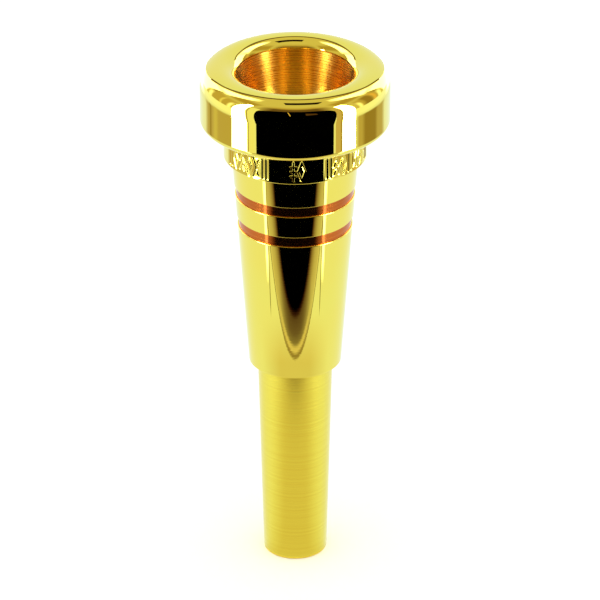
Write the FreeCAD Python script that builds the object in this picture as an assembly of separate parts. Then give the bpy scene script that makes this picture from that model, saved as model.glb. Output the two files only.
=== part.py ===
import FreeCAD, Part
import math
import os

# A heavy trumpet mouthpiece that screws apart into a rim, a cup and a backbore shank.
# Millimetres, +Z up along the axis of turning, origin at the centre of the shank's tip.
# Radii are measured from the axis, and heights from the tip.

# Screw threads: both are right-handed, of one pitch, with 60 degree flanks
THREAD_PITCH = 1.0
THREAD_DEPTH = 0.5
THREAD_CREST_WIDTH = 0.12
THREAD_GAP = 0.1            # between facing crests and roots, and square to the flanks
THREAD_ROOTING = 0.1        # how far a ridge reaches into the metal that carries it
FLANK_ANGLE_DEG = 30.0

# Shank: a 1 in 20 taper on diameter, which is the standard fit in a trumpet's receiver
TIP_RADIUS = 4.85
SHANK_TAPER = 0.05
TIP_EDGE_ROUND = 0.25
SHANK_HEAD_RADIUS = 5.70
SHANK_HEAD_TOP = 44.0
SHANK_HEAD_OVERLAP = 0.2    # the head starts this far inside the sleeve
SOCKET_FLOOR = 35.0
SOCKET_RADIUS = 4.55
SOCKET_CHAMFER = 0.3

# Air passage
TIP_BORE_RADIUS = 4.2
THROAT_RADIUS = 1.83
THROAT_FOOT = 65.0
THROAT_TOP = 68.6

# Outer sleeve of the body
SLEEVE_FOOT = 33.1
SLEEVE_TOP = 67.45
SLEEVE_FOOT_RADIUS = 7.0
SLEEVE_TOP_RADIUS = 9.45
SLEEVE_EDGE_ROUND = 0.12
SLEEVE_CLEARANCE = 0.06     # around the stem and around the shank's head

# Copper bands, let into two grooves of the sleeve
LOWER_GROOVE_FOOT = 56.1
UPPER_GROOVE_FOOT = 61.2
GROOVE_WIDTH = 1.6
GROOVE_DEPTH = 1.0
BAND_RECESS = 0.25
BAND_SPLIT = 0.6

# Cup with its stem, neck band and threaded shoulder
STEM_RADIUS = 5.0
STEM_FOOT = 44.1
STEM_TIP = 36.0
STEM_CORE_RADIUS = 3.95
STEM_RIDGE_FOOT = 37.0
STEM_RIDGE_TURNS = 5
NECK_RADIUS = 10.65
NECK_TOP = 72.65
NECK_EDGE_ROUND = 0.15
SHOULDER_RADIUS = 11.4
SHOULDER_TOP = 73.25
CUP_CORE_RADIUS = 10.9
CUP_TOP = 80.5
CUP_CHAMFER = 0.4
CUP_RIDGE_FOOT = 74.5
CUP_RIDGE_TURNS = 5
BOWL_RADIUS = 8.7
BOWL_TURN_RADIUS = 7.5      # where the bowl's wall and floor lines would meet
BOWL_TURN_HEIGHT = 72.4
BOWL_ROUND = 8.0
THROAT_ROUND = 1.5

# Rim with its heavy collar
RIM_FOOT = 72.65
RIM_BORE_RADIUS = 11.5
RIM_SEAT = 80.55
RIM_LIP_TOP = 80.7
RIM_RIDGE_TURNS = 4
COLLAR_RADIUS = 14.1
COLLAR_FOOT_ROUND = 1.0
COLLAR_TURN_HEIGHT = 79.0   # where the collar's side starts to lean in
COLLAR_TURN_ROUND = 8.0
EDGE_RADIUS = 13.78
EDGE_HEIGHT = 80.85
EDGE_ROUND = 2.5
CREST_RADIUS = 11.96
CREST_HEIGHT = 81.93
CREST_ROUND = 3.3
BITE_RADIUS = 9.55
BITE_HEIGHT = 81.88
BITE_ROUND = 2.88

# Seals
RIM_SEAL_INNER = 9.8
RIM_SEAL_OUTER = 10.4
RIM_SEAL_TOP = 81.05
RIM_SEAL_ROOM = 0.1         # between the seal and the sides of its groove
SHANK_SEAL_INNER = 2.95
SHANK_SEAL_OUTER = 3.9

AXIS = FreeCAD.Vector(0, 0, 1)
ORIGIN = FreeCAD.Vector(0, 0, 0)


def section_point(radius, height):
    return FreeCAD.Vector(radius, 0, height)


def rounded_outline(corners):
    """A closed wire in the XZ plane through (radius, height, rounding) corners, rounded by tangent arcs."""
    places = [section_point(radius, height) for radius, height, rounding in corners]
    arcs = []
    for index, (radius, height, rounding) in enumerate(corners):
        place = places[index]
        back = (places[index - 1] - place).normalize()
        ahead = (places[(index + 1) % len(places)] - place).normalize()
        if rounding == 0:
            arcs.append((place, None, place))
            continue
        half_angle = back.getAngle(ahead) / 2
        reach = rounding / math.tan(half_angle)
        towards_centre = (back + ahead).normalize()
        middle = place + towards_centre * (rounding / math.sin(half_angle) - rounding)
        arcs.append((place + back * reach, middle, place + ahead * reach))
    edges = []
    for index, (start, middle, end) in enumerate(arcs):
        if middle is not None:
            edges.append(Part.Arc(start, middle, end).toShape())
        following = arcs[(index + 1) % len(arcs)][0]
        edges.append(Part.LineSegment(end, following).toShape())
    return Part.Wire(edges)


def turned(corners):
    """A solid of revolution about the axis."""
    return Part.Face(rounded_outline(corners)).revolve(ORIGIN, AXIS, 360)


def ring(inner, outer, foot, top):
    corners = [(inner, foot, 0), (outer, foot, 0), (outer, top, 0), (inner, top, 0)]
    return turned(corners)


def spread(depth):
    """How much wider both flanks together make a ridge over a depth."""
    return 2 * math.tan(math.radians(FLANK_ANGLE_DEG)) * depth


def thread_ridge(carrier_radius, outward, crest_width, foot, turns):
    """A helical ridge that stands out of a core (outward 1) or into a bore (outward -1)."""
    root = carrier_radius - outward * THREAD_ROOTING
    crest = carrier_radius + outward * THREAD_DEPTH
    root_half = (crest_width + spread(THREAD_DEPTH + THREAD_ROOTING)) / 2
    crest_half = crest_width / 2
    corners = [
        section_point(root, foot - root_half),
        section_point(crest, foot - crest_half),
        section_point(crest, foot + crest_half),
        section_point(root, foot + root_half),
    ]
    section = Part.makePolygon(corners + corners[:1])
    helix = Part.makeHelix(THREAD_PITCH, turns * THREAD_PITCH, root)
    helix.translate(FreeCAD.Vector(0, 0, foot))
    return Part.Wire(helix.Edges).makePipeShell([section], True, True)


def male_ridge(core_radius, foot, turns):
    return thread_ridge(core_radius, 1, THREAD_CREST_WIDTH, foot, turns)


def female_ridge(bore_radius, male_foot, turns):
    """A ridge that runs half way between the turns of a male ridge starting at male_foot."""
    male_width = THREAD_CREST_WIDTH + spread(THREAD_DEPTH - THREAD_GAP)
    gaps = 2 * THREAD_GAP / math.cos(math.radians(FLANK_ANGLE_DEG))
    crest_width = THREAD_PITCH - male_width - gaps
    return thread_ridge(bore_radius, -1, crest_width, male_foot + THREAD_PITCH / 2, turns)


def joined(body, addition):
    """One solid from two that overlap."""
    return body.fuse(addition).Solids[0]


def shank_radius(height):
    return TIP_RADIUS + height * SHANK_TAPER / 2


def backbore_radius(height):
    return TIP_BORE_RADIUS + (THROAT_RADIUS - TIP_BORE_RADIUS) * height / THROAT_FOOT


def sleeve_radius(height):
    share = (height - SLEEVE_FOOT) / (SLEEVE_TOP - SLEEVE_FOOT)
    return SLEEVE_FOOT_RADIUS + share * (SLEEVE_TOP_RADIUS - SLEEVE_FOOT_RADIUS)


def rim():
    """The polished rim and heavy collar, which screws down over the cup's top."""
    groove_inner = RIM_SEAL_INNER - RIM_SEAL_ROOM
    groove_outer = RIM_SEAL_OUTER + RIM_SEAL_ROOM
    body = turned([
        (RIM_BORE_RADIUS, RIM_FOOT, 0),
        (COLLAR_RADIUS, RIM_FOOT, COLLAR_FOOT_ROUND),
        (COLLAR_RADIUS, COLLAR_TURN_HEIGHT, COLLAR_TURN_ROUND),
        (EDGE_RADIUS, EDGE_HEIGHT, EDGE_ROUND),
        (CREST_RADIUS, CREST_HEIGHT, CREST_ROUND),
        (BITE_RADIUS, BITE_HEIGHT, BITE_ROUND),
        (BOWL_RADIUS, RIM_LIP_TOP, 0),
        (BOWL_RADIUS, RIM_SEAT, 0),
        (groove_inner, RIM_SEAT, 0),
        (groove_inner, RIM_SEAL_TOP, 0),
        (groove_outer, RIM_SEAL_TOP, 0),
        (groove_outer, RIM_SEAT, 0),
        (RIM_BORE_RADIUS, RIM_SEAT, 0),
    ])
    return joined(body, female_ridge(RIM_BORE_RADIUS, CUP_RIDGE_FOOT, RIM_RIDGE_TURNS))


def rim_seal():
    """The square-section seal between the rim and the cup."""
    return ring(RIM_SEAL_INNER, RIM_SEAL_OUTER, CUP_TOP, RIM_SEAL_TOP)


def cup():
    """The cup: bowl, throat, neck band, and the stem that the sleeve and the shank go on."""
    body = turned([
        (BOWL_RADIUS, CUP_TOP, 0),
        (BOWL_TURN_RADIUS, BOWL_TURN_HEIGHT, BOWL_ROUND),
        (THROAT_RADIUS, THROAT_TOP, THROAT_ROUND),
        (THROAT_RADIUS, THROAT_FOOT, 0),
        (backbore_radius(STEM_TIP), STEM_TIP, 0),
        (STEM_CORE_RADIUS, STEM_TIP, 0),
        (STEM_CORE_RADIUS, STEM_FOOT, 0),
        (STEM_RADIUS, STEM_FOOT, 0),
        (STEM_RADIUS, SLEEVE_TOP, 0),
        (NECK_RADIUS, SLEEVE_TOP, NECK_EDGE_ROUND),
        (NECK_RADIUS, NECK_TOP, 0),
        (SHOULDER_RADIUS, NECK_TOP, 0),
        (SHOULDER_RADIUS, SHOULDER_TOP, 0),
        (CUP_CORE_RADIUS, SHOULDER_TOP, 0),
        (CUP_CORE_RADIUS, CUP_TOP - CUP_CHAMFER, 0),
        (CUP_CORE_RADIUS - CUP_CHAMFER, CUP_TOP, 0),
    ])
    threaded_top = joined(body, male_ridge(CUP_CORE_RADIUS, CUP_RIDGE_FOOT, CUP_RIDGE_TURNS))
    return joined(threaded_top, male_ridge(STEM_CORE_RADIUS, STEM_RIDGE_FOOT, STEM_RIDGE_TURNS))


def body_sleeve():
    """The tapered outer body, held between the neck band and the shank's head."""
    head_bore = SHANK_HEAD_RADIUS + SLEEVE_CLEARANCE
    stem_bore = STEM_RADIUS + SLEEVE_CLEARANCE
    sleeve = turned([
        (head_bore, SLEEVE_FOOT, 0),
        (SLEEVE_FOOT_RADIUS, SLEEVE_FOOT, SLEEVE_EDGE_ROUND),
        (SLEEVE_TOP_RADIUS, SLEEVE_TOP, SLEEVE_EDGE_ROUND),
        (stem_bore, SLEEVE_TOP, 0),
        (stem_bore, SHANK_HEAD_TOP, 0),
        (head_bore, SHANK_HEAD_TOP, 0),
    ])
    for foot in (LOWER_GROOVE_FOOT, UPPER_GROOVE_FOOT):
        top = foot + GROOVE_WIDTH
        sleeve = sleeve.cut(ring(groove_floor(foot), COLLAR_RADIUS, foot, top))
    return sleeve.Solids[0]


def groove_floor(foot):
    return sleeve_radius(foot + GROOVE_WIDTH / 2) - GROOVE_DEPTH


def band(foot):
    """A split copper ring in the groove that starts at foot, set back from the sleeve's surface."""
    inner = groove_floor(foot)
    outer = inner + GROOVE_DEPTH - BAND_RECESS
    whole = ring(inner, outer, foot, foot + GROOVE_WIDTH)
    corner = FreeCAD.Vector(-BAND_SPLIT / 2, 0, foot)
    return whole.cut(Part.makeBox(BAND_SPLIT, COLLAR_RADIUS, GROOVE_WIDTH, corner)).Solids[0]


def shank():
    """The tapered shank with its backbore, and the threaded head that clamps the sleeve."""
    head_foot = SLEEVE_FOOT + SHANK_HEAD_OVERLAP
    body = turned([
        (TIP_BORE_RADIUS, 0, 0),
        (TIP_RADIUS, 0, TIP_EDGE_ROUND),
        (shank_radius(head_foot), head_foot, 0),
        (SHANK_HEAD_RADIUS, head_foot, 0),
        (SHANK_HEAD_RADIUS, SHANK_HEAD_TOP, 0),
        (SOCKET_RADIUS + SOCKET_CHAMFER, SHANK_HEAD_TOP, 0),
        (SOCKET_RADIUS, SHANK_HEAD_TOP - SOCKET_CHAMFER, 0),
        (SOCKET_RADIUS, SOCKET_FLOOR, 0),
        (backbore_radius(SOCKET_FLOOR), SOCKET_FLOOR, 0),
    ])
    return joined(body, female_ridge(SOCKET_RADIUS, STEM_RIDGE_FOOT, STEM_RIDGE_TURNS))


def shank_seal():
    """The washer at the foot of the socket, which the stem's tip presses on."""
    return ring(SHANK_SEAL_INNER, SHANK_SEAL_OUTER, SOCKET_FLOOR, STEM_TIP)


pieces = {
    "rim": rim(),
    "rim_seal": rim_seal(),
    "cup": cup(),
    "body_sleeve": body_sleeve(),
    "upper_band": band(UPPER_GROOVE_FOOT),
    "lower_band": band(LOWER_GROOVE_FOOT),
    "shank": shank(),
    "shank_seal": shank_seal(),
}

os.makedirs("parts", exist_ok=True)
for name, piece in pieces.items():
    if not piece.isValid() or len(piece.Solids) != 1:
        raise ValueError(name + " is not one valid solid")
    piece.exportStep("parts/" + name + ".step")
    print(name, "volume", round(piece.Volume, 2), "faces", len(piece.Faces))
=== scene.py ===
import math

import bpy
import numpy as np
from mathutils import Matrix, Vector


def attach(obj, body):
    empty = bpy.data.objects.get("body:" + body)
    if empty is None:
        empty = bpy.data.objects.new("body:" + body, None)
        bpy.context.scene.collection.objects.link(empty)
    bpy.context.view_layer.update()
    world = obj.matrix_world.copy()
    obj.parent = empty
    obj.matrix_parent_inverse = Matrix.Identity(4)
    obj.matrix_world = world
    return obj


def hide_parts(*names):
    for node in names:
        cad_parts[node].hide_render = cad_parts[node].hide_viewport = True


# The looks of a heavy trumpet mouthpiece: turned pieces in fine mesh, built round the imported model.
# Lengths are millimetres, measured from the axis and up from the shank's tip.
# METRE turns them into scene units.
METRE = 0.001

# Screw threads: right-handed ridges with 60 degree flanks
THREAD_PITCH = 1.0
THREAD_DEPTH = 0.5
THREAD_CREST_WIDTH = 0.12
THREAD_GAP = 0.1
THREAD_ROOTING = 0.1
FLANK_ANGLE = math.radians(30)
THREAD_STEPS = 96           # per turn

# Shank and air passage
TIP_RADIUS = 4.85
SHANK_TAPER = 0.05
TIP_EDGE_ROUND = 0.25
SHANK_HEAD_RADIUS = 5.70
SHANK_HEAD_TOP = 44.0
SHANK_HEAD_OVERLAP = 0.2
SOCKET_FLOOR = 35.0
SOCKET_RADIUS = 4.55
SOCKET_CHAMFER = 0.3
TIP_BORE_RADIUS = 4.2
THROAT_RADIUS = 1.83
THROAT_FOOT = 65.0
THROAT_TOP = 68.6

# Outer sleeve and its two copper bands
SLEEVE_FOOT = 33.1
SLEEVE_TOP = 67.45
SLEEVE_FOOT_RADIUS = 7.0
SLEEVE_TOP_RADIUS = 9.45
SLEEVE_EDGE_ROUND = 0.12
SLEEVE_CLEARANCE = 0.06
LOWER_GROOVE_FOOT = 56.1
UPPER_GROOVE_FOOT = 61.2
GROOVE_WIDTH = 1.6
GROOVE_DEPTH = 1.0
GROOVE_EDGE_ROUND = 0.1
BAND_RECESS = 0.25
BAND_SPLIT = 0.6
BAND_EDGE_ROUND = 0.08

# Cup with its stem, neck band and threaded shoulder
STEM_RADIUS = 5.0
STEM_FOOT = 44.1
STEM_TIP = 36.0
STEM_CORE_RADIUS = 3.95
STEM_RIDGE_FOOT = 37.0
STEM_RIDGE_TURNS = 5
NECK_RADIUS = 10.65
NECK_TOP = 72.65
NECK_EDGE_ROUND = 0.15
SHOULDER_RADIUS = 11.4
SHOULDER_TOP = 73.25
CUP_CORE_RADIUS = 10.9
CUP_TOP = 80.5
CUP_CHAMFER = 0.4
CUP_RIDGE_FOOT = 74.5
CUP_RIDGE_TURNS = 5
BOWL_RADIUS = 8.7
BOWL_TURN_RADIUS = 7.5
BOWL_TURN_HEIGHT = 72.4
BOWL_ROUND = 8.0
THROAT_ROUND = 1.5

# Rim with its heavy collar
RIM_FOOT = 72.65
RIM_BORE_RADIUS = 11.5
RIM_SEAT = 80.55
RIM_LIP_TOP = 80.7
RIM_RIDGE_TURNS = 4
COLLAR_RADIUS = 14.1
COLLAR_FOOT_ROUND = 1.0
COLLAR_TURN_HEIGHT = 79.0   # where the collar's side starts to lean in
COLLAR_TURN_ROUND = 8.0
EDGE_RADIUS = 13.78
EDGE_HEIGHT = 80.85
EDGE_ROUND = 2.5
CREST_RADIUS = 11.96
CREST_HEIGHT = 81.93
CREST_ROUND = 3.3
BITE_RADIUS = 9.55
BITE_HEIGHT = 81.88
BITE_ROUND = 2.88

# Seals
RIM_SEAL_INNER = 9.8
RIM_SEAL_OUTER = 10.4
RIM_SEAL_TOP = 81.05
RIM_SEAL_ROOM = 0.1
SHANK_SEAL_INNER = 2.95
SHANK_SEAL_OUTER = 3.9
SEAL_EDGE_ROUND = 0.12

# Engraved marks round the neck band
MARK_FOOT = 68.0
MARK_HEIGHT = 3.0
MARK_WIDTH = 1.05
MARK_DEPTH = 0.09
MARK_HALF_STROKE = 0.1
MARK_SLOPE = 0.1            # width of an engraved stroke's sloping side
MARK_MARGIN = 0.2           # how far the fine mesh goes on below and above the marks
MARK_ROWS = 56
SAME_RADIUS = 1e-6          # rows this near the neck's radius belong to its band

SEGMENTS = 384              # round a turned piece
FINE_SEGMENTS = 768         # round the cup, which carries the engraving
ARC_STEP = math.radians(6)

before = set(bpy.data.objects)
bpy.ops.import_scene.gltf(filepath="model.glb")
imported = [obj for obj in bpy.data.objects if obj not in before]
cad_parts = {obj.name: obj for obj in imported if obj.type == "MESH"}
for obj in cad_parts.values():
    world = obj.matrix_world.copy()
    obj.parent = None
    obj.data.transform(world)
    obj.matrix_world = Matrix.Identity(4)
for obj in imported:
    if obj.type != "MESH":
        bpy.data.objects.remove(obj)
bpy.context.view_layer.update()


# ---- turned shapes ----

def rounded_strips(corners):
    """Strips (start, end, normal at start, normal at end, material slot) of a closed outline.

    corners are (radius, height, rounding) with an optional material slot for what follows, anticlockwise."""
    places = [np.array(corner[:2], float) for corner in corners]
    slots = [corner[3] if len(corner) > 3 else 0 for corner in corners]
    arcs = []
    for index, corner in enumerate(corners):
        place = places[index]
        back = places[index - 1] - place
        ahead = places[(index + 1) % len(places)] - place
        back = back / np.linalg.norm(back)
        ahead = ahead / np.linalg.norm(ahead)
        arcs.append(corner_arc(place, back, ahead, corner[2]))
    strips = []
    for index, arc in enumerate(arcs):
        following = arcs[(index + 1) % len(arcs)][0][0]
        for (start, start_normal), (end, end_normal) in zip(arc, arc[1:]):
            strips.append((start, end, start_normal, end_normal, slots[index]))
        last = arc[-1][0]
        along = (following - last) / np.linalg.norm(following - last)
        outward = np.array([along[1], -along[0]])
        strips.append((last, following, outward, outward, slots[index]))
    return strips


def corner_arc(place, back, ahead, rounding):
    """Points and outward normals along a rounded corner, or the corner alone if it is sharp."""
    if rounding == 0:
        return [(place, None)]
    half_angle = math.acos(np.clip(back @ ahead, -1, 1)) / 2
    reach = rounding / math.tan(half_angle)
    centre = place + (back + ahead) / np.linalg.norm(back + ahead) * rounding / math.sin(half_angle)
    convex = back[0] * ahead[1] - back[1] * ahead[0] < 0
    start = place + back * reach - centre
    turn = math.pi - 2 * half_angle
    steps = max(3, math.ceil(turn / ARC_STEP))
    arc = []
    for step in range(steps + 1):
        angle = (1 if convex else -1) * turn * step / steps
        spoke = turned_by(start, angle)
        normal = spoke / rounding * (1 if convex else -1)
        arc.append((centre + spoke, normal))
    return arc


def turned_by(vector, angle):
    cosine, sine = math.cos(angle), math.sin(angle)
    return np.array([vector[0] * cosine - vector[1] * sine, vector[0] * sine + vector[1] * cosine])


class Shell:
    """The mesh of one piece while it is gathered: vertices, faces, a normal for each corner, slots."""

    def __init__(self):
        self.points = []
        self.faces = []
        self.normals = []
        self.slots = []
        self.count = 0

    def add(self, points, faces, normals, slots):
        """Adds four-cornered faces; normals has one row of four vectors for each."""
        self.points.append(points)
        self.faces.append(faces + self.count)
        self.normals.append(normals)
        self.slots.append(slots)
        self.count += len(points)

    def grid(self, points, normals_low, normals_high, slots):
        """Adds a net of points[row, column] that closes on itself both ways.

        normals_low and normals_high hold the normals of each strip of faces at its two rows."""
        rows, columns = points.shape[:2]
        low = np.arange(rows * columns).reshape(rows, columns)
        high = np.roll(low, -1, 0)
        beside_low, beside_high = np.roll(low, -1, 1), np.roll(high, -1, 1)
        faces = np.stack([low, beside_low, beside_high, high], -1).reshape(-1, 4)
        near = np.roll(normals_low, -1, 1)
        far = np.roll(normals_high, -1, 1)
        normals = np.stack([normals_low, near, far, normals_high], 2).reshape(-1, 4, 3)
        self.add(points.reshape(-1, 3), faces, normals, np.repeat(slots, columns))

    def lathe(self, strips, segments, shape=None):
        """Turns an outline about the axis. shape(points, normals_low, normals_high) may then change it."""
        angles = np.arange(segments) * 2 * math.pi / segments
        starts = np.array([strip[0] for strip in strips])
        points = around(starts, angles)
        low = around_normals([strip[2] for strip in strips], angles)
        high = around_normals([strip[3] for strip in strips], angles)
        slots = np.array([strip[4] for strip in strips])
        if shape is not None:
            shape(points, low, high, starts, angles)
        self.grid(points, low, high, slots)

    def split_ring(self, strips, segments, half_gap):
        """Turns an outline nearly all the way round, with a gap at the +Y side, and closes its ends."""
        begin = math.pi / 2 + half_gap
        angles = np.linspace(begin, begin + 2 * math.pi - 2 * half_gap, segments)
        points = around(np.array([strip[0] for strip in strips]), angles)
        low = around_normals([strip[2] for strip in strips], angles)
        high = around_normals([strip[3] for strip in strips], angles)
        rows = len(strips)
        number = np.arange(rows * segments).reshape(rows, segments)
        above = np.roll(number, -1, 0)
        sides = np.stack([number[:, :-1], number[:, 1:], above[:, 1:], above[:, :-1]], -1)
        normals = np.stack([low[:, :-1], low[:, 1:], high[:, 1:], high[:, :-1]], 2)
        count = rows * (segments - 1)
        slots = np.zeros(count, int)
        self.add(points.reshape(-1, 3), sides.reshape(-1, 4), normals.reshape(-1, 4, 3), slots)
        for column, sign in ((0, -1), (segments - 1, 1)):
            self.end_cap(points[:, column], angles[column], sign)

    def end_cap(self, outline, angle, sign):
        """Closes the end of a swept outline with a fan of four-cornered faces about its middle."""
        normal = sign * np.array([-math.sin(angle), math.cos(angle), 0])
        count = len(outline) // 2 * 2
        hub = outline.mean(0)
        points = np.vstack([outline, hub])
        first = np.arange(0, count, 2)
        ring = [np.full(count // 2, len(outline)), first, (first + 1) % count, (first + 2) % count]
        if sign < 0:
            ring = [ring[0], ring[3], ring[2], ring[1]]
        normals = np.broadcast_to(normal, (count // 2, 4, 3))
        self.add(points, np.stack(ring, -1), normals, np.zeros(count // 2, int))

    def thread(self, carrier_radius, outward, crest_width, foot, turns):
        """Adds a helical ridge that stands out of a core (outward 1) or into a bore (outward -1)."""
        root = carrier_radius - outward * THREAD_ROOTING
        crest = carrier_radius + outward * THREAD_DEPTH
        root_half = (crest_width + flank_spread(THREAD_DEPTH + THREAD_ROOTING)) / 2
        crest_half = crest_width / 2
        section = np.array([(root, -root_half), (crest, -crest_half), (crest, crest_half), (root, root_half)])
        steps = turns * THREAD_STEPS
        turn = np.arange(steps + 1) / THREAD_STEPS
        angles = turn * 2 * math.pi
        points = np.empty((4, steps + 1, 3))
        for row, (radius, offset) in enumerate(section):
            points[row, :, 0] = radius * np.cos(angles)
            points[row, :, 1] = radius * np.sin(angles)
            points[row, :, 2] = foot + offset + turn * THREAD_PITCH
        number = np.arange(4 * (steps + 1)).reshape(4, -1)
        above = np.roll(number, -1, 0)
        faces = np.stack([number[:, :-1], number[:, 1:], above[:, 1:], above[:, :-1]], -1).reshape(-1, 4)
        ends = np.array([number[:, 0][::-1], number[:, -1]])
        faces = np.vstack([faces, ends])
        if outward < 0:
            faces = faces[:, ::-1]
        flat = points.reshape(-1, 3)
        corners = flat[faces]
        normals = np.cross(corners[:, 2] - corners[:, 0], corners[:, 3] - corners[:, 1])
        normals /= np.linalg.norm(normals, axis=1, keepdims=True)
        self.add(flat, faces, np.repeat(normals[:, None], 4, 1), np.zeros(len(faces), int))

    def finished(self, name, body, materials, node):
        """The Blender object, riding on its body and standing for its CAD node."""
        mesh = bpy.data.meshes.new(name)
        points = np.vstack(self.points) * METRE
        faces = np.vstack(self.faces)
        mesh.from_pydata(points.tolist(), [], faces.tolist())
        for material in materials:
            mesh.materials.append(material)
        mesh.polygons.foreach_set("material_index", np.concatenate(self.slots).astype(np.int32))
        mesh.polygons.foreach_set("use_smooth", np.ones(len(faces), bool))
        mesh.update()
        mesh.normals_split_custom_set(np.vstack(self.normals).reshape(-1, 3).tolist())
        piece = bpy.data.objects.new(name, mesh)
        bpy.context.scene.collection.objects.link(piece)
        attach(piece, body)
        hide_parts(node)


def around(profile, angles):
    """Points[row, column] of (radius, height) rows turned to each angle."""
    cosines, sines = np.cos(angles), np.sin(angles)
    radii, heights = profile[:, :1], profile[:, 1:2]
    return np.stack([radii * cosines, radii * sines, heights + 0 * cosines], -1)


def around_normals(normals, angles):
    """The same for normals, given as (outward, upward) pairs."""
    return around(np.array(normals, float), angles)


def flank_spread(depth):
    """How much wider both flanks together make a ridge over a depth."""
    return 2 * math.tan(FLANK_ANGLE) * depth


def female_crest_width():
    male_width = THREAD_CREST_WIDTH + flank_spread(THREAD_DEPTH - THREAD_GAP)
    return THREAD_PITCH - male_width - 2 * THREAD_GAP / math.cos(FLANK_ANGLE)


def shank_radius(height):
    return TIP_RADIUS + height * SHANK_TAPER / 2


def backbore_radius(height):
    return TIP_BORE_RADIUS + (THROAT_RADIUS - TIP_BORE_RADIUS) * height / THROAT_FOOT


def sleeve_radius(height):
    share = (height - SLEEVE_FOOT) / (SLEEVE_TOP - SLEEVE_FOOT)
    return SLEEVE_FOOT_RADIUS + share * (SLEEVE_TOP_RADIUS - SLEEVE_FOOT_RADIUS)


def groove_floor(foot):
    return sleeve_radius(foot + GROOVE_WIDTH / 2) - GROOVE_DEPTH


# ---- engraving ----

# Each mark is strokes between points, in parts of a mark's width (from -0.5 to 0.5) and height (from 0 to 1).
LOZENGE = [[(0, 0), (0.5, 0.5), (0, 1), (-0.5, 0.5), (0, 0)]]
BARS = [[(-0.3, 0), (-0.3, 1)], [(0.3, 0), (0.3, 1)]]
CHEVRONS = [[(-0.45, 0.1), (0, 0.45), (0.45, 0.1)], [(-0.45, 0.55), (0, 0.9), (0.45, 0.55)]]
HOURGLASS = [[(-0.45, 0), (0.45, 0), (-0.45, 1), (0.45, 1), (-0.45, 0)]]
LADDER = [[(0, 0), (0, 1)], *[[(-0.4, rung), (0.4, rung)] for rung in (0.25, 0.5, 0.75)]]
# (middle of the group in degrees from the front, step in degrees, marks)
MARK_GROUPS = [
    (-43, 7.4, [BARS, LOZENGE, CHEVRONS, LOZENGE, HOURGLASS, BARS]),
    (2, 6.6, [LADDER, LOZENGE]),
    (52, 7.0, [BARS, CHEVRONS, LOZENGE, BARS, HOURGLASS, LOZENGE, CHEVRONS, BARS]),
]
FRONT = -math.pi / 2


def stroke_distance(x, y, start, end):
    """Distance of each point (x, y) from the stretch between two points."""
    run = np.subtract(end, start)
    share = ((x - start[0]) * run[0] + (y - start[1]) * run[1]) / (run @ run)
    share = np.clip(share, 0, 1)
    return np.hypot(x - start[0] - share * run[0], y - start[1] - share * run[1])


def engraving(angles, heights):
    """How deep the engraving is at each (height, angle) of the neck band."""
    nearest = np.full((len(heights), len(angles)), np.inf)
    y = (heights - MARK_FOOT)[:, None]
    for middle, step, marks in MARK_GROUPS:
        for number, mark in enumerate(marks):
            towards = FRONT + math.radians(middle + (number - (len(marks) - 1) / 2) * step)
            off = (angles - towards + math.pi) % (2 * math.pi) - math.pi
            x = (off * NECK_RADIUS)[None, :]
            for line in mark:
                places = [(px * MARK_WIDTH, py * MARK_HEIGHT) for px, py in line]
                for start, end in zip(places, places[1:]):
                    nearest = np.minimum(nearest, stroke_distance(x, y, start, end))
    share = np.clip((MARK_HALF_STROKE + MARK_SLOPE - nearest) / MARK_SLOPE, 0, 1)
    return MARK_DEPTH * share * share * (3 - 2 * share)


def engraved(points, low, high, starts, angles):
    """Presses the marks into the rows of the neck band and tilts the normals to match."""
    rows = np.flatnonzero(np.abs(starts[:, 0] - NECK_RADIUS) < SAME_RADIUS)
    heights = starts[rows, 1]
    depth = engraving(angles, heights)
    radii = NECK_RADIUS - depth
    points[rows, :, 0] = radii * np.cos(angles)
    points[rows, :, 1] = radii * np.sin(angles)
    slope_up = np.gradient(-depth, heights, axis=0)
    wide = np.hstack([depth[:, -1:], depth, depth[:, :1]])
    slope_round = -(wide[:, 2:] - wide[:, :-2]) / (2 * (angles[1] - angles[0]) * NECK_RADIUS)
    outward = np.stack([np.cos(angles), np.sin(angles), 0 * angles], -1)
    sideways = np.stack([-np.sin(angles), np.cos(angles), 0 * angles], -1)
    normals = outward - slope_round[..., None] * sideways - slope_up[..., None] * np.array([0, 0, 1])
    normals /= np.linalg.norm(normals, axis=-1, keepdims=True)
    low[rows[:-1]] = normals[:-1]
    high[rows[:-1]] = normals[1:]


# ---- materials ----

def new_material(name):
    material = bpy.data.materials.new(name)
    material.use_nodes = True
    nodes = material.node_tree.nodes
    return material, nodes, material.node_tree.links, nodes["Principled BSDF"]


def ramp_through(nodes, links, source, stops):
    """Colours blended along the source's value. Each stop is (value, colour), in rising order."""
    ramp = nodes.new("ShaderNodeValToRGB")
    for number, (at, colour) in enumerate(stops):
        element = ramp.color_ramp.elements[number] if number < 2 else ramp.color_ramp.elements.new(at)
        element.position = at
        element.color = (*colour, 1)
    links.new(source, ramp.inputs["Fac"])
    return ramp.outputs["Color"]


def ramp_between(nodes, links, noise_value, low_colour, high_colour):
    """Two colours blended over the middle of a noise, which seldom leaves it."""
    return ramp_through(nodes, links, noise_value, [(0.35, low_colour), (0.65, high_colour)])


def calculate(nodes, links, operation, first, second=0.0, third=0.0, clamp=False):
    """One step of arithmetic on numbers or sockets."""
    node = nodes.new("ShaderNodeMath")
    node.operation = operation
    node.use_clamp = clamp
    for socket, value in zip(node.inputs, (first, second, third)):
        if isinstance(value, (int, float)):
            socket.default_value = value
        else:
            links.new(value, socket)
    return node.outputs["Value"]


def length_of(nodes, links, vector):
    node = nodes.new("ShaderNodeVectorMath")
    node.operation = "LENGTH"
    links.new(vector, node.inputs[0])
    return node.outputs["Value"]


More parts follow.
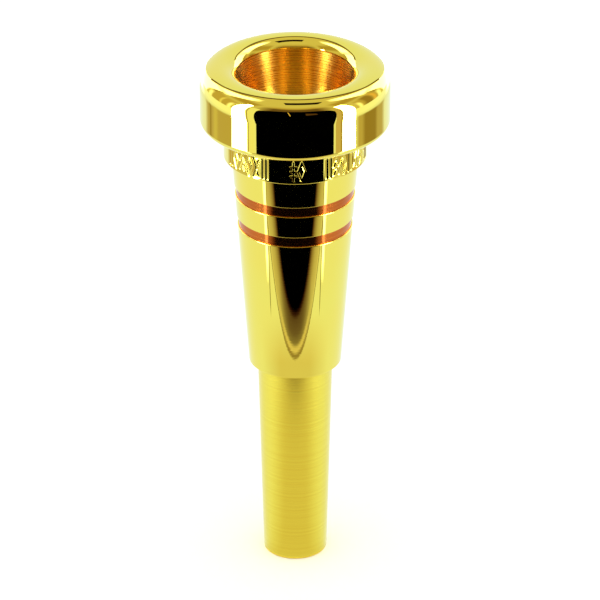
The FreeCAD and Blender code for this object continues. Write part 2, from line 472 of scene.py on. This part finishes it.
def object_place(nodes, links):
    """The object coordinates, and their X, Y and Z on their own."""
    place = nodes.new("ShaderNodeTexCoord").outputs["Object"]
    parts = nodes.new("ShaderNodeSeparateXYZ")
    links.new(place, parts.inputs["Vector"])
    return place, parts.outputs["X"], parts.outputs["Y"], parts.outputs["Z"]


def noise(nodes, links, place, scale, detail=2.0):
    texture = nodes.new("ShaderNodeTexNoise")
    texture.inputs["Scale"].default_value = scale
    texture.inputs["Detail"].default_value = detail
    links.new(place, texture.inputs["Vector"])
    return texture.outputs["Fac"]


def stretched_place(nodes, links, stretch):
    """Object coordinates, scaled by stretch, so that a noise runs out into lines."""
    place = nodes.new("ShaderNodeTexCoord").outputs["Object"]
    mapping = nodes.new("ShaderNodeMapping")
    mapping.inputs["Scale"].default_value = stretch
    links.new(place, mapping.inputs["Vector"])
    return mapping.outputs["Vector"]


def remapped(nodes, links, source, low, high):
    remap = nodes.new("ShaderNodeMapRange")
    remap.inputs["To Min"].default_value = low
    remap.inputs["To Max"].default_value = high
    links.new(source, remap.inputs["Value"])
    return remap.outputs["Result"]


def bumped(nodes, links, shader, source, strength, distance):
    bump = nodes.new("ShaderNodeBump")
    bump.inputs["Strength"].default_value = strength
    bump.inputs["Distance"].default_value = distance
    links.new(source, bump.inputs["Height"])
    links.new(bump.outputs["Normal"], shader.inputs["Normal"])


def ring_place(nodes, links, rise):
    """A coordinate that changes only from ring to ring of a turned surface: height, and rise times radius."""
    x, y, z = object_place(nodes, links)[1:]
    flat = nodes.new("ShaderNodeCombineXYZ")
    links.new(x, flat.inputs["X"])
    links.new(y, flat.inputs["Y"])
    return calculate(nodes, links, "MULTIPLY_ADD", length_of(nodes, links, flat.outputs["Vector"]), rise, z)


def ring_noise(nodes, links, ring, scale):
    texture = nodes.new("ShaderNodeTexNoise")
    texture.noise_dimensions = "1D"
    texture.inputs["Scale"].default_value = scale
    texture.inputs["Detail"].default_value = 3.0
    links.new(ring, texture.inputs["W"])
    return texture.outputs["Fac"]


def polished_metal(name, colour, warm_colour):
    """Mirror-polished plating: faint drifts of colour, and polishing haze that comes and goes."""
    material, nodes, links, shader = new_material(name)
    shader.inputs["Metallic"].default_value = 1.0
    drift = noise(nodes, links, stretched_place(nodes, links, (1, 1, 1)), scale=90.0)
    links.new(ramp_between(nodes, links, drift, colour, warm_colour), shader.inputs["Base Color"])
    haze = noise(nodes, links, stretched_place(nodes, links, (1, 1, 4)), scale=260.0, detail=4.0)
    links.new(remapped(nodes, links, haze, low=0.006, high=0.03), shader.inputs["Roughness"])
    wipe = noise(nodes, links, stretched_place(nodes, links, (1, 1, 6)), scale=900.0, detail=3.0)
    bumped(nodes, links, shader, wipe, strength=0.04, distance=0.02 * METRE)
    return material


def turned_metal(name, colour, warm_colour, roughness, rise, ring_scale, bump, anisotropy):
    """Satin metal with the fine rings that a turning tool leaves; roughness is (least, most)."""
    material, nodes, links, shader = new_material(name)
    shader.inputs["Metallic"].default_value = 1.0
    shader.inputs["Anisotropic"].default_value = anisotropy
    shader.inputs["Anisotropic Rotation"].default_value = 0.25
    tangent = nodes.new("ShaderNodeTangent")
    tangent.direction_type = "RADIAL"
    tangent.axis = "Z"
    links.new(tangent.outputs["Tangent"], shader.inputs["Tangent"])
    ring = ring_place(nodes, links, rise)
    rings = ring_noise(nodes, links, ring, ring_scale)
    links.new(ramp_between(nodes, links, rings, warm_colour, colour), shader.inputs["Base Color"])
    links.new(remapped(nodes, links, rings, *roughness), shader.inputs["Roughness"])
    bumped(nodes, links, shader, rings, bump, distance=0.04 * METRE)
    return material


def seal_rubber():
    material, nodes, links, shader = new_material("seal_rubber")
    shader.inputs["Specular IOR Level"].default_value = 0.3
    bloom = noise(nodes, links, stretched_place(nodes, links, (1, 1, 1)), scale=700.0, detail=4.0)
    dark, pale = (0.012, 0.012, 0.012), (0.035, 0.034, 0.032)
    links.new(ramp_between(nodes, links, bloom, dark, pale), shader.inputs["Base Color"])
    links.new(remapped(nodes, links, bloom, low=0.5, high=0.7), shader.inputs["Roughness"])
    bumped(nodes, links, shader, bloom, strength=0.2, distance=0.03 * METRE)
    return material


polished_gold = polished_metal("polished_gold", (0.88, 0.72, 0.12), (0.90, 0.70, 0.11))
satin_bowl = turned_metal(
    "satin_bowl", (0.80, 0.48, 0.07), (0.70, 0.37, 0.045), roughness=(0.23, 0.32),
    rise=1.0, ring_scale=6000.0, bump=0.10, anisotropy=0.9,
)
satin_shank = turned_metal(
    "satin_shank", (0.86, 0.68, 0.085), (0.83, 0.63, 0.065), roughness=(0.20, 0.28),
    rise=0.0, ring_scale=3000.0, bump=0.12, anisotropy=0.0,
)
satin_copper = turned_metal(
    "satin_copper", (0.64, 0.17, 0.026), (0.52, 0.11, 0.016), roughness=(0.07, 0.13),
    rise=0.0, ring_scale=7000.0, bump=0.1, anisotropy=0.0,
)
rubber = seal_rubber()


# ---- pieces ----

def make_rim():
    """The polished rim and heavy collar, with its thread and the groove for its seal."""
    groove_inner = RIM_SEAL_INNER - RIM_SEAL_ROOM
    groove_outer = RIM_SEAL_OUTER + RIM_SEAL_ROOM
    shell = Shell()
    shell.lathe(rounded_strips([
        (RIM_BORE_RADIUS, RIM_FOOT, 0),
        (COLLAR_RADIUS, RIM_FOOT, COLLAR_FOOT_ROUND),
        (COLLAR_RADIUS, COLLAR_TURN_HEIGHT, COLLAR_TURN_ROUND),
        (EDGE_RADIUS, EDGE_HEIGHT, EDGE_ROUND),
        (CREST_RADIUS, CREST_HEIGHT, CREST_ROUND),
        (BITE_RADIUS, BITE_HEIGHT, BITE_ROUND),
        (BOWL_RADIUS, RIM_LIP_TOP, 0),
        (BOWL_RADIUS, RIM_SEAT, 0),
        (groove_inner, RIM_SEAT, 0),
        (groove_inner, RIM_SEAL_TOP, 0),
        (groove_outer, RIM_SEAL_TOP, 0),
        (groove_outer, RIM_SEAT, 0),
        (RIM_BORE_RADIUS, RIM_SEAT, 0),
    ]), SEGMENTS)
    female_foot = CUP_RIDGE_FOOT + THREAD_PITCH / 2
    shell.thread(RIM_BORE_RADIUS, -1, female_crest_width(), female_foot, RIM_RIDGE_TURNS)
    shell.finished("rim_polished", "rim", [polished_gold], "rim")


def make_cup():
    """The satin bowl, the engraved neck band, the threaded shoulder and the stem."""
    satin = 1
    band_foot = MARK_FOOT - MARK_MARGIN
    band_height = MARK_HEIGHT + 2 * MARK_MARGIN
    neck = [(NECK_RADIUS, band_foot + band_height * row / MARK_ROWS, 0) for row in range(MARK_ROWS + 1)]
    shell = Shell()
    shell.lathe(rounded_strips([
        (BOWL_RADIUS, CUP_TOP, 0, satin),
        (BOWL_TURN_RADIUS, BOWL_TURN_HEIGHT, BOWL_ROUND, satin),
        (THROAT_RADIUS, THROAT_TOP, THROAT_ROUND, satin),
        (THROAT_RADIUS, THROAT_FOOT, 0, satin),
        (backbore_radius(STEM_TIP), STEM_TIP, 0),
        (STEM_CORE_RADIUS, STEM_TIP, 0),
        (STEM_CORE_RADIUS, STEM_FOOT, 0),
        (STEM_RADIUS, STEM_FOOT, 0),
        (STEM_RADIUS, SLEEVE_TOP, 0),
        (NECK_RADIUS, SLEEVE_TOP, NECK_EDGE_ROUND),
        *neck,
        (NECK_RADIUS, NECK_TOP, 0),
        (SHOULDER_RADIUS, NECK_TOP, 0),
        (SHOULDER_RADIUS, SHOULDER_TOP, 0),
        (CUP_CORE_RADIUS, SHOULDER_TOP, 0),
        (CUP_CORE_RADIUS, CUP_TOP - CUP_CHAMFER, 0),
        (CUP_CORE_RADIUS - CUP_CHAMFER, CUP_TOP, 0),
    ]), FINE_SEGMENTS, engraved)
    shell.thread(CUP_CORE_RADIUS, 1, THREAD_CREST_WIDTH, CUP_RIDGE_FOOT, CUP_RIDGE_TURNS)
    shell.thread(STEM_CORE_RADIUS, 1, THREAD_CREST_WIDTH, STEM_RIDGE_FOOT, STEM_RIDGE_TURNS)
    shell.finished("cup_engraved", "cup", [polished_gold, satin_bowl], "cup")


def make_sleeve():
    """The tapered body with its two grooves."""
    head_bore = SHANK_HEAD_RADIUS + SLEEVE_CLEARANCE
    stem_bore = STEM_RADIUS + SLEEVE_CLEARANCE
    grooves = []
    for foot in (LOWER_GROOVE_FOOT, UPPER_GROOVE_FOOT):
        top = foot + GROOVE_WIDTH
        grooves += [
            (sleeve_radius(foot), foot, GROOVE_EDGE_ROUND),
            (groove_floor(foot), foot, 0),
            (groove_floor(foot), top, 0),
            (sleeve_radius(top), top, GROOVE_EDGE_ROUND),
        ]
    shell = Shell()
    shell.lathe(rounded_strips([
        (head_bore, SLEEVE_FOOT, 0),
        (SLEEVE_FOOT_RADIUS, SLEEVE_FOOT, SLEEVE_EDGE_ROUND),
        *grooves,
        (SLEEVE_TOP_RADIUS, SLEEVE_TOP, SLEEVE_EDGE_ROUND),
        (stem_bore, SLEEVE_TOP, 0),
        (stem_bore, SHANK_HEAD_TOP, 0),
        (head_bore, SHANK_HEAD_TOP, 0),
    ]), SEGMENTS)
    shell.finished("sleeve_polished", "sleeve", [polished_gold], "body_sleeve")


def make_band(name, node, foot):
    """A split copper ring in its groove."""
    inner = groove_floor(foot)
    outer = inner + GROOVE_DEPTH - BAND_RECESS
    strips = rounded_strips([
        (inner, foot, 0),
        (outer, foot, BAND_EDGE_ROUND),
        (outer, foot + GROOVE_WIDTH, BAND_EDGE_ROUND),
        (inner, foot + GROOVE_WIDTH, 0),
    ])
    shell = Shell()
    shell.split_ring(strips, SEGMENTS, BAND_SPLIT / 2 / outer)
    shell.finished(name, "sleeve", [satin_copper], node)


def make_shank():
    """The tapered shank with its threaded head."""
    head_foot = SLEEVE_FOOT + SHANK_HEAD_OVERLAP
    shell = Shell()
    shell.lathe(rounded_strips([
        (TIP_BORE_RADIUS, 0, 0),
        (TIP_RADIUS, 0, TIP_EDGE_ROUND),
        (shank_radius(head_foot), head_foot, 0),
        (SHANK_HEAD_RADIUS, head_foot, 0),
        (SHANK_HEAD_RADIUS, SHANK_HEAD_TOP, 0),
        (SOCKET_RADIUS + SOCKET_CHAMFER, SHANK_HEAD_TOP, 0),
        (SOCKET_RADIUS, SHANK_HEAD_TOP - SOCKET_CHAMFER, 0),
        (SOCKET_RADIUS, SOCKET_FLOOR, 0),
        (backbore_radius(SOCKET_FLOOR), SOCKET_FLOOR, 0),
    ]), SEGMENTS)
    female_foot = STEM_RIDGE_FOOT + THREAD_PITCH / 2
    shell.thread(SOCKET_RADIUS, -1, female_crest_width(), female_foot, STEM_RIDGE_TURNS)
    shell.finished("shank_satin", "shank", [satin_shank], "shank")


def make_seal(name, node, body, inner, outer, foot, top):
    shell = Shell()
    shell.lathe(rounded_strips([
        (inner, foot, SEAL_EDGE_ROUND),
        (outer, foot, SEAL_EDGE_ROUND),
        (outer, top, SEAL_EDGE_ROUND),
        (inner, top, SEAL_EDGE_ROUND),
    ]), SEGMENTS)
    shell.finished(name, body, [rubber], node)


make_rim()
make_cup()
make_sleeve()
make_band("upper_band_copper", "upper_band", UPPER_GROOVE_FOOT)
make_band("lower_band_copper", "lower_band", LOWER_GROOVE_FOOT)
make_shank()
make_seal(
    "rim_seal_ring", "rim_seal", "rim_seal", RIM_SEAL_INNER, RIM_SEAL_OUTER, CUP_TOP, RIM_SEAL_TOP
)
make_seal(
    "shank_seal_ring", "shank_seal", "shank", SHANK_SEAL_INNER, SHANK_SEAL_OUTER, SOCKET_FLOOR, STEM_TIP
)


# ---- stage, light and camera ----

# The metal reflects a light tent with an opening towards the camera. Directions in it are in degrees:
# azimuth from the camera's side towards the right, elevation from the horizon at the rim's height.
EYE_HEIGHT = 80.0
TENT_RADIUS = 700.0
TENT_FOOT = -7.0            # elevation of the cloth's foot
TENT_ROWS = 24
TENT_COLUMNS = 72
FLOOR_REACH = 3000.0
FLOOR_CARD_REACH = 900.0

# Heights of the cards that lie on the floor, each over the one before, and of the upright cards' feet
FLOOR_CARD_HEIGHT = 0.3
HEM_HEIGHT = 0.6
OPENING_HEIGHT = 0.9
CARD_FOOT = 0.8

# The opening, in front of the mouthpiece
HEM_NEAR = 55.4             # how far off the hem's near line is
HEM_HALF_WIDTH = 78.0       # half the near line's length
HEM_SIDE_NEAR = 78.0        # how far off the hem begins at its ends
HEM_FAR = 104.0
OPENING_NEAR = 69.0         # the opening's edge at its nearest, and how it curves away to both sides
OPENING_CURVE = 0.0033
OPENING_HALF_WIDTH = 108
OPENING_STEP = 12
ROOM_HALF_WIDTH = 340.0
ROOM_DEPTH = 300.0
ROOM_HEIGHT = 318.0
ROOM_ROUND = 150.0          # of its upper corners
IN_THE_ROOM = 298.0         # how far off the faint things in the room are
LAMP_DISTANCE = 160.0       # of the lamps beside the opening
CARD_GAP = 1.0              # between a lamp and the cards before and behind it

# Behind the mouthpiece and over it
FOLD_DISTANCE = 298.0
FOLD_OUTLINE = [(74, CARD_FOOT), (97, 30), (145, 87), (186, 142), (212, 185), (224, 240), (262, 250),
                (262, CARD_FOOT)]
HOLE_OUTLINE = [(-42, -25), (106, -25), (106, 64), (-42, 64)]
HOLE_HEIGHT = 480.0

CAMERA_DISTANCE = 650.0
CAMERA_ELEVATION = math.radians(27.8)
CAMERA_AIM = (0.73, 0, 42.8)
CAMERA_LENS = 258.0
SENSOR_WIDTH = 36.0
WORLD_STRENGTH = 1.15


def emission(name, colour, strength=1.0):
    material = bpy.data.materials.new(name)
    material.use_nodes = True
    nodes = material.node_tree.nodes
    nodes.remove(nodes["Principled BSDF"])
    glow = nodes.new("ShaderNodeEmission")
    glow.inputs["Color"].default_value = (*colour, 1)
    glow.inputs["Strength"].default_value = strength
    material.node_tree.links.new(glow.outputs["Emission"], nodes["Material Output"].inputs["Surface"])
    return material, nodes, material.node_tree.links, glow


def plain_card(name, colour, strength=1.0):
    """The material of a card of one colour."""
    return emission(name, colour, strength)[0]


def stage_mesh(name, points, faces, material, reflected_only=True):
    """A part of the stage, in millimetres. Cards are seen only in reflections."""
    mesh = bpy.data.meshes.new(name)
    mesh.from_pydata([Vector(point) * METRE for point in points], [], faces)
    mesh.materials.append(material)
    thing = bpy.data.objects.new(name, mesh)
    bpy.context.scene.collection.objects.link(thing)
    if reflected_only:
        thing.visible_camera = False
        thing.visible_diffuse = False
        thing.visible_shadow = False
        thing.visible_transmission = False
    return thing


def flat_card(name, points, material):
    stage_mesh(name, points, [tuple(range(len(points)))], material)


def upright_card(name, outline, y, material):
    """A card that stands across the view, with an outline of (across, height) points."""
    flat_card(name, [(x, y, z) for x, z in outline], material)


def square(reach, height):
    corners = [(-reach, -reach), (reach, -reach), (reach, reach), (-reach, reach)]
    return [(x, y, height) for x, y in corners]


def azimuth_of(nodes, links, x, y):
    forward = calculate(nodes, links, "MULTIPLY", y, -1.0)
    return calculate(nodes, links, "DEGREES", calculate(nodes, links, "ARCTAN2", x, forward))


def mixed(nodes, links, share, first, second):
    """A blend of two colours, each of which is a plain colour or a socket."""
    mix = nodes.new("ShaderNodeMix")
    mix.data_type = "RGBA"
    links.new(share, mix.inputs["Factor"])
    for socket, colour in ((mix.inputs["A"], first), (mix.inputs["B"], second)):
        if isinstance(colour, tuple):
            socket.default_value = (*colour, 1)
        else:
            links.new(colour, socket)
    return mix.outputs["Result"]


def within(nodes, links, value, low, high, soft, slant=0.0, upwards=None, rise=0.0):
    """1 where value lies from low to high, fading over soft. slant moves it along as upwards leaves rise."""
    away = calculate(nodes, links, "SUBTRACT", value, (low + high) / 2)
    if slant:
        shift = calculate(nodes, links, "SUBTRACT", upwards, rise)
        away = calculate(nodes, links, "MULTIPLY_ADD", shift, -slant, away)
    away = calculate(nodes, links, "ABSOLUTE", away)
    half = (high - low) / 2
    return calculate(nodes, links, "MULTIPLY_ADD", away, -1 / soft, half / soft + 0.5, clamp=True)


def painted(nodes, links, across, upwards, base, patches):
    """A base colour with soft-edged patches laid over it in turn, as TENT and FLOOR list them."""
    both_sides = calculate(nodes, links, "ABSOLUTE", across)
    colour = base
    for side, left, right, low, high, soft_across, soft_up, slant, tint in patches:
        value = both_sides if side == "both" else across
        inside = within(nodes, links, value, left, right, soft_across, slant, upwards, (low + high) / 2)
        level = within(nodes, links, upwards, low, high, soft_up)
        share = calculate(nodes, links, "MULTIPLY", inside, level)
        colour = mixed(nodes, links, share, colour, tint)
    return colour


DARK = (0.02, 0.012, 0.006)
BROWN = (0.16, 0.10, 0.05)
OLIVE = (0.42, 0.32, 0.14)
MIDDLE = (0.74, 0.70, 0.48)
PALE = (0.91, 1.03, 1.10)
CREAM = (1.5, 1.65, 1.7)
BRIGHT = (3.2, 3.5, 4.6)
LAMP = (17.0, 19.0, 21.0)

# Patches of the tent's cloth: (side, azimuth from, to, elevation from, to, softness across, softness upwards,
# slant, colour). A patch on one side keeps its azimuths' signs, and one on both sides is mirrored.
TENT = [
    ("both", 60, 112, 42, 60, 10, 8, 0, (0.50, 0.38, 0.13)),
    ("both", 136, 224, 38, 57, 6, 5, 0, (0.48, 0.37, 0.13)),
    ("both", 110, 136, 38, 66, 8, 8, 0, BRIGHT),
    ("one", -42, 42, 30, 62, 24, 12, 0, (0.55, 0.42, 0.18)),
    ("one", -42, 42, 30, 53, 22, 8, 0, BROWN),
    ("both", 78, 122, -60, 32, 3, 9, 0, (0.62, 0.50, 0.24)),
    ("both", 118, 131, -60, 32, 5, 9, 0, (0.80, 0.74, 0.42)),
    ("both", 115, 127, 19, 37, 5, 7, 0, OLIVE),
    ("both", 129, 150, -60, 36, 3, 8, -0.25, BRIGHT),
    ("both", 82, 87, -60, 20, 4, 14, -0.1, CREAM),
    ("both", 114, 120, -60, 14, 4, 12, 0, CREAM),
    ("one", -98, -95, -60, 28, 3, 14, 0, (1.0, 0.95, 0.6)),
    ("one", 90, 103, -60, 34, 5, 10, 0, (0.36, 0.26, 0.09)),
    ("one", 105, 110, -60, 28, 4, 12, 0, (0.95, 0.62, 0.25)),
]


def make_tent():
    """The tent's cloth, with its seams and the bright and dim fields on its walls."""
    material, nodes, links, glow = emission("tent_cloth", (1, 1, 1))
    x, y, z = object_place(nodes, links)[1:]
    azimuth = azimuth_of(nodes, links, x, y)
    sine = calculate(nodes, links, "DIVIDE", z, TENT_RADIUS * METRE)
    elevation = calculate(nodes, links, "DEGREES", calculate(nodes, links, "ARCSINE", sine))
    links.new(painted(nodes, links, azimuth, elevation, MIDDLE, TENT), glow.inputs["Color"])
    points = []
    for row in range(TENT_ROWS + 1):
        rise = math.radians(TENT_FOOT + (90 - TENT_FOOT) * row / TENT_ROWS)
        reach = TENT_RADIUS * math.cos(rise)
        for column in range(TENT_COLUMNS):
            turn = 2 * math.pi * column / TENT_COLUMNS
            points.append((reach * math.cos(turn), reach * math.sin(turn), TENT_RADIUS * math.sin(rise)))
    faces = []
    for low in range(0, TENT_ROWS * TENT_COLUMNS, TENT_COLUMNS):
        high = low + TENT_COLUMNS
        for column in range(TENT_COLUMNS):
            beside = (column + 1) % TENT_COLUMNS
            faces.append((low + column, low + beside, high + beside, high + column))
    stage_mesh("tent", points, faces, material).location = (0, 0, EYE_HEIGHT * METRE)


# Patches of the floor as the metal sees it, in painted light and shade: painted shadow near the mouthpiece
# and at the sides, painted pools of lamplight, brighter floor further off. The same, with the distance from
# the axis for the elevation
FLOOR_BASE = (0.96, 1.10, 1.20)
FLOOR = [
    ("one", -60, 60, 0, 62, 50, 14, 0, (0.80, 0.78, 0.60)),
    ("both", 78, 132, 140, 200, 5, 24, 0, (0.58, 0.50, 0.30)),
    ("both", 130, 230, 150, 215, 10, 30, 0, (0.95, 1.10, 1.2)),
    ("one", 88, 112, 140, 200, 6, 20, 0, (0.36, 0.27, 0.10)),
    ("one", -121, -117, 140, 200, 3, 20, 0, (0.40, 0.32, 0.12)),
    ("one", -112, -104, 140, 200, 5, 20, 0, (0.70, 0.65, 0.36)),
    ("one", -138, 138, 235, 900, 12, 60, 0, (1.15, 1.30, 1.5)),
    ("both", 138, 222, 235, 900, 12, 60, 0, BRIGHT),
    ("both", 55.5, 61, 82, 145, 2, 8, 0, BRIGHT),
    ("both", 54.2, 55.6, 70, 150, 0.8, 4, 0, (0.20, 0.15, 0.05)),
    ("both", 60, 82, 147, 159, 4, 3, 0, (0.62, 0.50, 0.30)),
]


def make_floor():
    """The white floor, and over it the floor that only the metal sees, in painted light and shade."""
    floor_material, nodes, links, shader = new_material("floor_white")
    shader.inputs["Specular IOR Level"].default_value = 0.0
    shader.inputs["Roughness"].default_value = 1.0
    grain = noise(nodes, links, stretched_place(nodes, links, (1, 1, 1)), scale=40.0)
    links.new(ramp_between(nodes, links, grain, (0.97, 0.97, 0.97), (0.98, 0.98, 0.98)),
              shader.inputs["Base Color"])
    stage_mesh("floor", square(FLOOR_REACH, 0), [(0, 1, 2, 3)], floor_material, reflected_only=False)
    # The card's colours are painted light and shade of the floor, which the metal sees in place of the lit
    # floor.
    material, nodes, links, glow = emission("floor_painted_light_seen_by_metal", (1, 1, 1))
    place, x, y = object_place(nodes, links)[:3]
    distance = calculate(nodes, links, "DIVIDE", length_of(nodes, links, place), METRE)
    azimuth = azimuth_of(nodes, links, x, y)
    links.new(painted(nodes, links, azimuth, distance, FLOOR_BASE, FLOOR), glow.inputs["Color"])
    flat_card("card_floor", square(FLOOR_CARD_REACH, FLOOR_CARD_HEIGHT), material)


def around_point(azimuth, distance, height):
    angle = math.radians(azimuth)
    return (distance * math.sin(angle), -distance * math.cos(angle), height)


def wall_card(name, low_azimuths, high_azimuths, elevations, distance, material):
    """A curved card between two azimuths, which may differ at its foot and at its top."""
    steps = 12
    points = []
    for (first, last), elevation in zip((low_azimuths, high_azimuths), elevations):
        height = max(EYE_HEIGHT + distance * math.tan(math.radians(elevation)), CARD_FOOT)
        for step in range(steps + 1):
            points.append(around_point(first + (last - first) * step / steps, distance, height))
    faces = [(i, i + 1, i + steps + 2, i + steps + 1) for i in range(steps)]
    stage_mesh(name, points, faces, material)


def window_outline(half_width, height, rounding, y):
    """An upright outline with rounded top corners, standing on the floor."""
    steps = 8
    points = [(-half_width, y, CARD_FOOT), (half_width, y, CARD_FOOT)]
    for side, turned in ((1, 0), (-1, 90)):
        for step in range(steps + 1):
            angle = math.radians(turned + 90 * step / steps)
            points.append((side * (half_width - rounding) + rounding * math.cos(angle), y,
                           height - rounding + rounding * math.sin(angle)))
    return points


def opening_edge(x):
    """How far in front the dark floor outside the tent's opening begins, at x across it."""
    return OPENING_NEAR + OPENING_CURVE * x * x


# Stops of the hem's painted light and shade, from its near line (0) to the opening's edge (1): a bright fold,
# then shade.
# HEM_ASIDE takes over from HEM_MIDDLE towards both sides.
HEM_MIDDLE = [
    (0.0, (0.36, 0.30, 0.16)), (0.09, (0.36, 0.30, 0.16)), (0.15, (0.85, 0.78, 0.60)),
    (0.23, (0.75, 0.68, 0.50)), (0.30, (0.28, 0.25, 0.18)), (0.5, (0.17, 0.13, 0.10)),
    (0.8, (0.12, 0.08, 0.06)), (0.9, (0.04, 0.012, 0.01)), (1.0, (0.0, 0.0, 0.0)),
]
HEM_ASIDE = [
    (0.0, (0.25, 0.20, 0.10)), (0.03, (0.25, 0.20, 0.10)), (0.07, (0.95, 0.98, 0.85)),
    (0.12, (0.70, 0.70, 0.60)), (0.4, (0.60, 0.57, 0.45)), (0.7, (0.33, 0.27, 0.18)),
    (0.9, (0.10, 0.05, 0.03)), (1.0, (0.0, 0.0, 0.0)),
]
HEM_PALER = (0.0006, -0.12)     # HEM_ASIDE's share is the first times x squared, plus the second


def hem_cloth():
    """The tent's hem on the floor, in painted light and shade: a bright fold along its near line, darker
    towards the opening's edge, and paler towards both sides, where more light falls."""
    material, nodes, links, glow = emission("opening_hem", (1, 1, 1))
    x, y = object_place(nodes, links)[1:3]
    sideways = calculate(nodes, links, "DIVIDE", x, METRE)
    squared = calculate(nodes, links, "MULTIPLY", sideways, sideways)
    depth = calculate(nodes, links, "MULTIPLY_ADD", y, -1 / METRE, -HEM_NEAR)
    width = calculate(nodes, links, "MULTIPLY_ADD", squared, OPENING_CURVE, OPENING_NEAR - HEM_NEAR)
    share = calculate(nodes, links, "DIVIDE", depth, width, clamp=True)
    middle = ramp_through(nodes, links, share, HEM_MIDDLE)
    aside = ramp_through(nodes, links, share, HEM_ASIDE)
    # Painted light: the hem is lit paler towards both sides.
    paler = calculate(nodes, links, "MULTIPLY_ADD", squared, *HEM_PALER, clamp=True)
    links.new(mixed(nodes, links, paler, middle, aside), glow.inputs["Color"])
    return material


def make_opening():
    """The tent's opening in front, with the dark room beyond it and two faint things in the room."""
    black = plain_card("card_black", (0, 0, 0), 0)
    across = range(-OPENING_HALF_WIDTH, OPENING_HALF_WIDTH + 1, OPENING_STEP)
    outline = [(x, -opening_edge(x)) for x in across]
    outline += [(ROOM_HALF_WIDTH, -ROOM_DEPTH), (-ROOM_HALF_WIDTH, -ROOM_DEPTH)]
    flat_card("opening_floor", [(x, y, OPENING_HEIGHT) for x, y in outline], black)
    upright = window_outline(ROOM_HALF_WIDTH, ROOM_HEIGHT, ROOM_ROUND, -ROOM_DEPTH)
    flat_card("opening_upright", upright, black)
    hem = [(HEM_HALF_WIDTH, -HEM_NEAR), (OPENING_HALF_WIDTH, -HEM_SIDE_NEAR), (OPENING_HALF_WIDTH, -HEM_FAR)]
    hem += [(-x, y) for x, y in reversed(hem)]
    flat_card("opening_hem", [(x, y, HEM_HEIGHT) for x, y in hem], hem_cloth())
    dim = plain_card("card_far_lamp", (0.9, 0.62, 0.25))
    red = plain_card("card_far_wall", (0.10, 0.05, 0.03))
    upright_card("far_lamp", [(-30, 132), (-24, 132), (-42, 268), (-52, 290)], -IN_THE_ROOM, dim)
    upright_card("far_wall", [(66, 150), (150, 160), (140, 205), (66, 225)], -IN_THE_ROOM, red)


def make_back():
    """The panel behind with its shadowed edge and the folds beside it, and the hole overhead."""
    pale = plain_card("card_pale", PALE)
    edge = plain_card("card_edge", (0.14, 0.09, 0.03))
    olive = plain_card("card_olive", OLIVE)
    flat_card("panel_back", window_outline(half_width=213, height=469, rounding=90, y=300), pale)
    flat_card("panel_back_edge", window_outline(half_width=240, height=575, rounding=150, y=302), edge)
    flat_card("panel_back_rim", window_outline(half_width=252, height=625, rounding=180, y=304), olive)
    bright = plain_card("card_bright", BRIGHT)
    for name, side in (("panel_fold_left", -1), ("panel_fold_right", 1)):
        upright_card(name, [(side * x, z) for x, z in FOLD_OUTLINE], FOLD_DISTANCE, bright)
    flat_card("hole", [(x, y, HOLE_HEIGHT) for x, y in HOLE_OUTLINE], plain_card("card_dark", DARK))


def make_sides():
    """The lamps beside the opening, each with a dull edge before it and the opening's edge behind."""
    lamp = plain_card("card_lamp", LAMP)
    olive = plain_card("card_lamp_edge", OLIVE)
    cream = plain_card("card_cream", (1.0, 1.1, 1.0))
    dull = plain_card("card_dull", (0.66, 0.55, 0.42))
    before, behind = LAMP_DISTANCE - CARD_GAP, LAMP_DISTANCE + CARD_GAP
    wall_card("lamp_left", (-57.5, -79), (-59, -66), (-30, 44), LAMP_DISTANCE, lamp)
    wall_card("lamp_right", (57, 75), (52.5, 64), (-30, 40), LAMP_DISTANCE, lamp)
    wall_card("lamp_edge_left", (-55.2, -56.4), (-55.2, -56.4), (-30, 30), before, olive)
    wall_card("lamp_edge_right", (54.6, 55.8), (51.5, 52.5), (-30, 30), before, olive)
    wall_card("opening_edge_left", (-48, -58), (-44, -60), (-30, 32), behind, cream)
    wall_card("opening_edge_right", (48, 58), (46, 54), (-30, 30), behind, dull)


def make_stage():
    make_floor()
    make_tent()
    make_opening()
    make_back()
    make_sides()


def make_world():
    world = bpy.data.worlds.new("soft_tent")
    world.use_nodes = True
    world.node_tree.nodes["Background"].inputs["Color"].default_value = (1, 1, 1, 1)
    world.node_tree.nodes["Background"].inputs["Strength"].default_value = WORLD_STRENGTH
    bpy.context.scene.world = world
    bpy.context.scene.view_settings.view_transform = "Standard"


def make_camera():
    """The camera looks down at the mouthpiece from the front, through a long lens."""
    back = Vector((0, -math.cos(CAMERA_ELEVATION), math.sin(CAMERA_ELEVATION)))
    data = bpy.data.cameras.new("camera")
    data.lens = CAMERA_LENS
    data.sensor_width = SENSOR_WIDTH
    data.clip_start = 0.01
    data.clip_end = 20.0
    camera = bpy.data.objects.new("camera", data)
    bpy.context.scene.collection.objects.link(camera)
    camera.location = Vector(CAMERA_AIM) * METRE + back * CAMERA_DISTANCE * METRE
    camera.rotation_mode = "QUATERNION"
    camera.rotation_quaternion = (-back).to_track_quat("-Z", "Y")
    bpy.context.scene.camera = camera


make_stage()
make_world()
make_camera()
